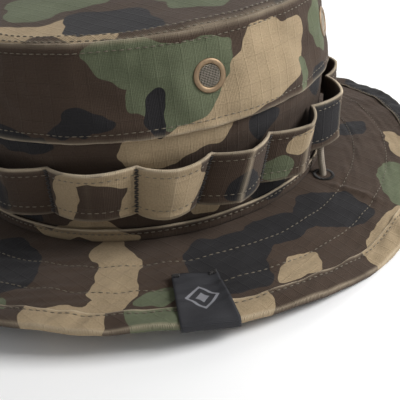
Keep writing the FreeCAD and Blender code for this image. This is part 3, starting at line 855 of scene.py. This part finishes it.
def makeBandStitching():
    mesh = bmesh.new()
    for loop in range(band["loops"]):
        for v in (0.17, 0.84):
            length = (bandPoint(loop, 0.5, v) - bandPoint(loop, 0.0, v)).length * 2
            count = max(int(length / 0.003), 4)
            for i in range(count):
                share = (i + 0.5) / count
                heading = bandPoint(loop, min(share + 0.02, 1), v) - bandPoint(loop, max(share - 0.02, 0), v)
                addStitch(mesh, bandPoint(loop, share, v, 0.0001), heading, bandNormal(loop, share, v),
                          length=0.0021)
    finishPiece("bandStitching", mesh, seamThread)


def makeBandTacks():
    # a dense zigzag down each catch
    mesh = bmesh.new()
    turns = 19
    for loop in range(band["loops"]):
        out = outward(tacks[loop])
        for i in range(turns):
            v = 0.03 + 0.94 * (i + 0.5) / turns
            slant = 0.00055 if i % 2 else -0.00055
            centre = bandPoint(loop, 0.0, v, 0.0007)
            heading = along(tacks[loop]) * 0.0022 + Vector((0, 0, slant))
            addStitch(mesh, centre, heading, out, length=0.0027, width=0.0006, height=0.0005)
    finishPiece("bandBartacks", mesh, darkThread, ("band_bartacks",))


makeBand()
makeBandStitching()
makeBandTacks()
print("foliage band made")


# stitching
def makeSeamStitching():
    mesh = bmesh.new()
    for rise in (0.0545, 0.0868):
        stitchRow(mesh, lambda a: upperWall(a, rise) + outward(a) * 0.0001, outward, 0, 360)
    for spread in (0.95, 0.985):
        def onTop(a):
            turn = math.radians(a)
            return topPoint(spread * math.sin(turn), -spread * math.cos(turn)) + Vector((0, 0, 0.0001))

        stitchRow(mesh, onTop, lambda a: Vector((0, 0, 1)), 0, 360)
    stitchRow(mesh, lambda a: place(a, lowerOffset(0.005) + 0.00125, hat["base"] + 0.0050), outward, 0, 360)
    finishPiece("crownStitching", mesh, seamThread)


def makeBrimStitching():
    mesh = bmesh.new()
    for share in brim["rowShares"]:
        offset = share * hat["brimWidth"]
        stitchRow(mesh, lambda a: brimTopPoint(a, offset, 0.00120), lambda a: Vector((0, 0, 1)), 0, 360)
        stitchRow(mesh, lambda a: brimTopPoint(a, offset, -0.00120), lambda a: Vector((0, 0, -1)), 0, 360)
    finishPiece("brimStitching", mesh, seamThread)
    mesh = bmesh.new()
    for share in (0.075, 0.925):
        up = Vector((0, 0, 1 if share < 0.5 else -1))
        stitchRow(mesh, lambda a: bindingPoint(a, share) + up * 0.00012, lambda a: up, 0, 360)
    finishPiece("bindingStitching", mesh, seamThread)


makeSeamStitching()
makeBrimStitching()
print("stitching made")


# vents
def ventTurn(azimuth):
    lean = (upperOffset(vents["rise"] - 0.005) - upperOffset(vents["rise"] + 0.005)) / 0.01
    out = (outward(azimuth) + Vector((0, 0, lean))).normalized()
    side = along(azimuth)
    centre = place(azimuth, upperOffset(vents["rise"]) + 0.0007, hat["base"] + vents["rise"])
    return Matrix.Translation(centre) @ Matrix((side, out.cross(side), out)).transposed().to_4x4()


def mergeInto(whole, part):
    spare = bpy.data.meshes.new("spare")
    part.to_mesh(spare)
    part.free()
    whole.from_mesh(spare)
    bpy.data.meshes.remove(spare)


def ventRim(turn):
    # the rolled rim's section is spun round the vent's axis
    mesh = bmesh.new()
    ring = bmesh.ops.create_circle(mesh, segments=10, radius=1.0)["verts"]
    wide = (vents["outer"] - vents["hole"]) / 2
    for vert in ring:
        deep = vents["rimFace"] if vert.co.y > 0 else vents["rimBack"]
        vert.co = Vector((vents["hole"] + wide + vert.co.x * wide, 0, vents["rimLift"] + vert.co.y * deep))
    bmesh.ops.spin(mesh, geom=mesh.verts[:] + mesh.edges[:], cent=(0, 0, 0), axis=(0, 0, 1),
                   angle=2 * math.pi, steps=48, use_merge=True, use_duplicate=False)
    bmesh.ops.recalc_face_normals(mesh, faces=mesh.faces)
    bmesh.ops.transform(mesh, matrix=turn, verts=mesh.verts)
    return mesh


def ventScreen(turn):
    # woven wire: a lattice trimmed round
    mesh = bmesh.new()
    reach = vents["hole"] + 0.0002
    bmesh.ops.create_grid(mesh, x_segments=vents["wires"], y_segments=vents["wires"], size=reach)
    outside = [vert for vert in mesh.verts if vert.co.length > reach]
    bmesh.ops.delete(mesh, geom=outside, context="VERTS")
    for index, vert in enumerate(mesh.verts):
        vert.co.z = vents["weave"] * (1 if index % 2 else -1)
    bmesh.ops.wireframe(mesh, faces=mesh.faces, thickness=vents["wire"], use_replace=True,
                        use_boundary=True, use_even_offset=False)
    bmesh.ops.transform(mesh, matrix=turn, verts=mesh.verts)
    return mesh


def makeVents():
    rims = bmesh.new()
    screens = bmesh.new()
    for azimuth in vents["azimuths"]:
        turn = ventTurn(azimuth)
        mergeInto(rims, ventRim(turn))
        mergeInto(screens, ventScreen(turn))
    finishPiece("ventRims", rims, brassRim, ("vent_eyelets",))
    finishPiece("ventScreens", screens, wireScreen, ("vent_meshes",))


makeVents()
print("vents made")


# labels
label = {"azimuth": 233.5, "width": 0.021, "reach": 0.028, "under": 0.011, "ply": 0.00045}


def labelPoint(u, v):
    # v runs from the inner end on top, over the edge, to the end underneath
    total = label["reach"] + 0.005 + label["under"]
    travel = v * total
    across = (u - 0.5) * label["width"]
    azimuth = label["azimuth"] + math.degrees(across / (radius + 0.045))
    edge = hat["brimWidth"] + 0.0007
    stand = 0.0025
    if travel < label["reach"]:
        offset, level = edge - label["reach"] + travel, stand
    elif travel > label["reach"] + 0.005:
        offset, level = edge - (travel - label["reach"] - 0.005), -stand
    else:
        angle = math.pi * (travel - label["reach"]) / 0.005
        offset, level = edge + 0.0011 * math.sin(angle), stand * math.cos(angle)
    lift = 0.0004 * near(u, 0.02, 0.12) + 0.0006 * near(u, 1.0, 0.10) + 0.0004 * math.sin(u * 5 + v * 7)
    onBrim = min(offset, hat["brimWidth"])
    height = brimMid(azimuth, onBrim) + brimRipple(azimuth, onBrim)
    return place(azimuth, offset, height + level + (lift if level > 0 else 0))


def makeLabels():
    mesh = sheetMesh((22, 44), labelPoint, lambda u, v: (u * label["width"], v * 0.044), flip=True)
    piece = finishPiece("edgeLabel", mesh, labelWeave, ("edge_label",),
                        modifiers=[thick(label["ply"])])
    mesh = bmesh.new()
    for side in (0.10, 0.90):
        for i in range(7):
            u = side + (i - 3) * 0.022
            centre = labelPoint(u, 0.028) + Vector((0, 0, 0.0003))
            heading = outward(label["azimuth"]) + along(label["azimuth"]) * (0.25 if i % 2 else -0.25)
            addStitch(mesh, centre, heading, Vector((0, 0, 1)), length=0.0026, width=0.0006, height=0.0005)
    finishPiece("labelTacks", mesh, darkThread, ("label_tacks",))

    def careShape(u, v):
        azimuth = 150 + math.degrees((u - 0.5) * 0.03 / radius)
        rise = 0.006 + 0.018 * v
        return place(azimuth, lowerOffset(rise) - 0.00282, hat["base"] + rise)

    mesh = sheetMesh((20, 12), careShape, lambda u, v: (u * 0.03, v * 0.018), flip=True)
    piece = finishPiece("careLabel", mesh, careWeave, ("care_label",),
                        modifiers=[thick(0.0003)])


makeLabels()
print("labels made")


# inside: sweatband and tapes
def ringStrip(name, low, high, depth, thickness, nodes, rows=12):
    def shape(u, v):
        rise = low + (high - low) * v
        turn = 2 * math.pi * u
        wall = upperOffset(rise) if rise > hat["foldRise"] else lowerOffset(rise)
        pucker = 0.0002 * math.sin(turn * 130) * near(v, 1, 0.3) + 0.0004 * crumple(
            math.cos(turn) * 0.09, math.sin(turn) * 0.09, rise, 0.015)
        return place(math.degrees(turn), wall - depth + pucker, hat["base"] + rise)

    def flat(u, v):
        return (2 * math.pi * u * radius, v * (high - low))

    mesh = sheetMesh((480, rows), shape, flat, closed=True, flip=True)
    piece = finishPiece(name, mesh, oliveTape, nodes, modifiers=[thick(thickness)])


def makeInside():
    ringStrip("sweatbandCloth", -0.001, 0.031, 0.0026, 0.0011, ("sweatband",))
    ringStrip("topSeamTape", 0.081, 0.089, 0.0018, 0.0005, ("top_seam_tape",), rows=6)
    for side, azimuth in (("left", 90.0), ("right", 270.0)):
        def shape(u, v):
            rise = 0.033 + 0.0205 * v
            return place(azimuth + math.degrees((u - 0.5) * 0.012 / radius), lowerOffset(rise) - 0.0023,
                         hat["base"] + rise)

        mesh = sheetMesh((12, 16), shape, lambda u, v: (u * 0.012, v * 0.0205), flip=True)
        nodes = ("side_seam_tapes",) if side == "left" else ()
        piece = finishPiece(side + "SeamTape", mesh, oliveTape, nodes,
                            modifiers=[thick(0.0005)])
    mesh = bmesh.new()
    stitchRow(mesh, lambda a: place(a, lowerOffset(0.0285) - 0.0029, hat["base"] + 0.0285),
              lambda a: outward(a) * -1, 0, 360)
    stitchRow(mesh, lambda a: place(a, lowerOffset(0.002) - 0.0029, hat["base"] + 0.002),
              lambda a: outward(a) * -1, 0, 360)
    finishPiece("sweatbandStitching", mesh, seamThread)


makeInside()
print("inside made")


# sewn eyelets in the brim and the cord's end tacks
sewnEyelet = {"azimuth": 284.4, "offset": 0.0086, "hole": 0.0037, "outer": 0.0056}


def makeSewnEyelets():
    mesh = bmesh.new()
    for azimuth in (sewnEyelet["azimuth"], 360 - sewnEyelet["azimuth"]):
        for side in (1, -1):
            centre = brimTopPoint(azimuth, sewnEyelet["offset"], 0.00125 if side > 0 else -0.00125)
            out, cross = outward(azimuth), along(azimuth)
            fall = brimTopPoint(azimuth, 0.0136) - brimTopPoint(azimuth, 0.0036)
            out = fall.normalized()
            count = 44
            for i in range(count):
                turn = 2 * math.pi * i / count
                ray = out * math.cos(turn) + cross * math.sin(turn)
                middle = centre + ray * (sewnEyelet["hole"] + sewnEyelet["outer"]) / 2
                addStitch(mesh, middle, ray, Vector((0, 0, side)), length=0.0021, width=0.00052,
                          height=0.00045)
    finishPiece("brimEyelets", mesh, darkThread, ("brim_cord_eyelets",))
    mesh = bmesh.new()
    for side in (1, -1):
        x, y, z = cordHalf[0]
        end = Vector((side * x, y, z))
        azimuth = math.degrees(math.atan2(end.x / hat["halfWidth"], -end.y / hat["halfDepth"]))
        for i in range(8):
            centre = end + outward(azimuth) * 0.0012 + Vector((0, 0, 0.0004 * i))
            heading = along(azimuth) + Vector((0, 0, 0.15 if i % 2 else -0.15))
            addStitch(mesh, centre, heading, outward(azimuth), length=0.0058, width=0.0006, height=0.0012)
    finishPiece("cordEndTacks", mesh, darkThread, ("cord_end_tacks",))


makeSewnEyelets()
for nodeName, material in (("vent_washers", brassRim), ("cord_lock_barrel", lockPlastic),
                           ("cord_lock_button", lockPlastic), ("cord_lock_spring", springSteel)):
    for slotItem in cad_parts[nodeName].material_slots:
        slotItem.material = material
print("small parts made")


# floor and light
def makeStage():
    mesh = bmesh.new()
    bmesh.ops.create_grid(mesh, x_segments=1, y_segments=1, size=6.0)
    data = bpy.data.meshes.new("floor")
    mesh.to_mesh(data)
    mesh.free()
    floor = bpy.data.objects.new("floor", data)
    scene.collection.objects.link(floor)
    material = bpy.data.materials.new("paleFloor")
    material.use_nodes = True
    tree = material.node_tree
    shader = tree.nodes["Principled BSDF"]
    shader.inputs["Base Color"].default_value = (0.95, 0.95, 0.95, 1)
    shader.inputs["Roughness"].default_value = 0.9
    data.materials.append(material)
    world = bpy.data.worlds.new("studio")
    scene.world = world
    world.use_nodes = True
    tree = world.node_tree
    background = tree.nodes["Background"]
    background.inputs["Color"].default_value = (1, 1, 1, 1)
    path = tree.nodes.new("ShaderNodeLightPath")
    seen = combine(tree, "MAXIMUM", path.outputs["Is Camera Ray"], path.outputs["Is Glossy Ray"])
    strength = combine(tree, "ADD", combine(tree, "MULTIPLY", seen, 0.69), 0.31)
    tree.links.new(strength, background.inputs["Strength"])


lamps = {
    "key": {"place": (-0.85, -0.60, 0.75), "size": 0.55, "power": 18.0},
    "back": {"place": (0.35, -0.95, 0.75), "size": 0.7, "power": 6.0},
    "fill": {"place": (-0.2, 1.1, 0.9), "size": 1.2, "power": 0.8},
}


def makeLamps():
    for name, lamp in lamps.items():
        data = bpy.data.lights.new(name, "AREA")
        data.size = lamp["size"]
        data.energy = lamp["power"]
        rig = bpy.data.objects.new(name, data)
        scene.collection.objects.link(rig)
        rig.location = lamp["place"]
        towards = Vector((0, 0, 0.04)) - Vector(lamp["place"])
        rig.rotation_euler = towards.to_track_quat("-Z", "Y").to_euler()


makeStage()
makeLamps()
print("stage and lamps set")
